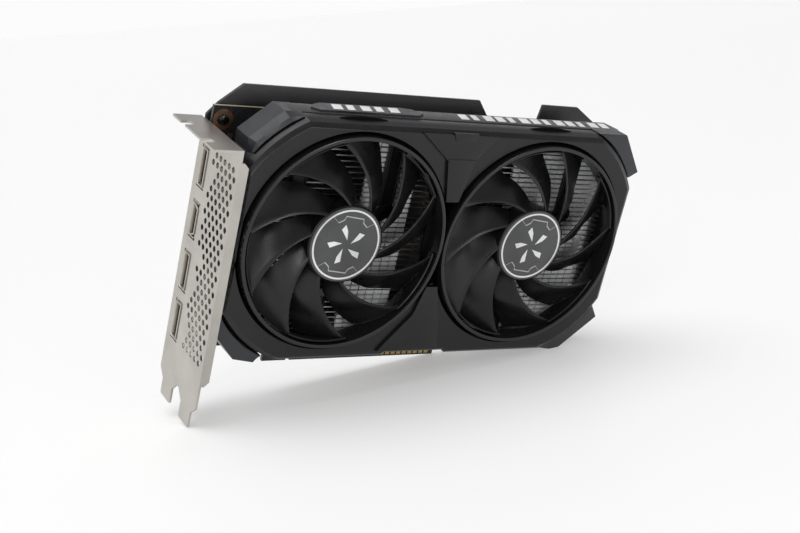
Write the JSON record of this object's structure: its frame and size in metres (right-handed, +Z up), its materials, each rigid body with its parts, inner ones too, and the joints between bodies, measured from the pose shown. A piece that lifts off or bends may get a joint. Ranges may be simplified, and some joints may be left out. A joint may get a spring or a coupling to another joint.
{
  "type": "graphics card",
  "caption": "Short dual-slot graphics card with axial fans in a black angular shroud, steel bracket with display sockets and vents, back cover, finned cooler and edge connector.",
  "frame": {"origin": "centre of the bounding box in plan, at the tips of the bracket's tabs, which are the card's lowest points", "axes": "+X along the card away from the bracket, -Y out of the fans, +Z up with the edge connector at the bottom"},
  "size_m": [0.2106, 0.0426, 0.1346],
  "materials": {
    "io_bracket": "satin",
    "displayport_1": "satin",
    "displayport_2": "satin",
    "displayport_3": "satin",
    "hdmi_port": "satin",
    "pcb": "satin solder mask",
    "edge_contacts": "gold plated",
    "gpu_substrate": "satin",
    "gpu_die": "polished",
    "memory_1": "matt",
    "memory_2": "matt",
    "memory_3": "matt",
    "memory_4": "matt",
    "inductor_1": "matt",
    "inductor_2": "matt",
    "inductor_3": "matt",
    "capacitor_1": "satin",
    "capacitor_2": "satin",
    "capacitor_3": "satin",
    "power_connector": "matt",
    "fan_header": "matt",
    "backplate": "satin black",
    "board_screw": "black oxide",
    "fin_stack_left": "satin",
    "fin_stack_right": "satin",
    "heat_pipe_1": "polished copper",
    "heat_pipe_2": "polished copper",
    "heat_pipe_3": "polished copper",
    "cold_plate": "polished",
    "cooler_screw_1": "black oxide",
    "cooler_screw_2": "black oxide",
    "cooler_screw_3": "black oxide",
    "cooler_screw_4": "black oxide",
    "shroud": "satin black",
    "corner_guard_top_left": "satin grey",
    "corner_guard_top_right": "satin grey",
    "corner_guard_bottom_left": "satin grey",
    "corner_guard_bottom_right": "satin grey",
    "badge_plate": "satin grey",
    "rotor_left": "satin black",
    "hub_cap_left": "satin",
    "magnet_ring_left": "matt ferrite",
    "shaft_left": "polished",
    "fan_base_left": "matt",
    "stator_left": "copper windings",
    "fan_screw_left_1": "black oxide",
    "fan_screw_left_2": "black oxide",
    "fan_screw_left_3": "black oxide",
    "rotor_right": "satin black",
    "hub_cap_right": "satin",
    "magnet_ring_right": "matt ferrite",
    "shaft_right": "polished",
    "fan_base_right": "matt",
    "stator_right": "copper windings",
    "fan_screw_right_1": "black oxide",
    "fan_screw_right_2": "black oxide",
    "fan_screw_right_3": "black oxide"
  },
  "bodies": {
    "card": {"io_bracket": "io_bracket", "displayport_1": "displayport_1", "displayport_2": "displayport_2", "displayport_3": "displayport_3", "hdmi_port": "hdmi_port", "pcb": "pcb", "edge_contacts": "edge_contacts", "gpu_substrate": "gpu_substrate", "gpu_die": "gpu_die", "memory_1": "memory_1", "memory_2": "memory_2", "memory_3": "memory_3", "memory_4": "memory_4", "inductor_1": "inductor_1", "inductor_2": "inductor_2", "inductor_3": "inductor_3", "capacitor_1": "capacitor_1", "capacitor_2": "capacitor_2", "capacitor_3": "capacitor_3", "power_connector": "power_connector", "fan_header": "fan_header", "backplate": "backplate", "board_screw": "board_screw", "fin_stack_left": "fin_stack_left", "fin_stack_right": "fin_stack_right", "heat_pipe_1": "heat_pipe_1", "heat_pipe_2": "heat_pipe_2", "heat_pipe_3": "heat_pipe_3", "cold_plate": "cold_plate", "cooler_screw_1": "cooler_screw_1", "cooler_screw_2": "cooler_screw_2", "cooler_screw_3": "cooler_screw_3", "cooler_screw_4": "cooler_screw_4", "shroud": "shroud", "corner_guard_top_left": "corner_guard_top_left", "corner_guard_top_right": "corner_guard_top_right", "corner_guard_bottom_left": "corner_guard_bottom_left", "corner_guard_bottom_right": "corner_guard_bottom_right", "badge_plate": "badge_plate", "fan_base_left": "fan_base_left", "stator_left": "stator_left", "fan_screw_left_1": "fan_screw_left_1", "fan_screw_left_2": "fan_screw_left_2", "fan_screw_left_3": "fan_screw_left_3", "fan_base_right": "fan_base_right", "stator_right": "stator_right", "fan_screw_right_1": "fan_screw_right_1", "fan_screw_right_2": "fan_screw_right_2", "fan_screw_right_3": "fan_screw_right_3"},
    "fan_left": {"rotor_left": "rotor_left", "hub_cap_left": "hub_cap_left", "magnet_ring_left": "magnet_ring_left", "shaft_left": "shaft_left"},
    "fan_right": {"rotor_right": "rotor_right", "hub_cap_right": "hub_cap_right", "magnet_ring_right": "magnet_ring_right", "shaft_right": "shaft_right"}
  },
  "joints": [
    {"name": "fan_left_spin", "type": "hinge", "parent": "card", "child": "fan_left", "pos_m": [-0.0407, -0.02025, 0.0822], "axis": [0, 1, 0], "continuous": true},
    {"name": "fan_right_spin", "type": "hinge", "parent": "card", "child": "fan_right", "pos_m": [0.0519, -0.02025, 0.0822], "axis": [0, 1, 0], "continuous": true}
  ]
}
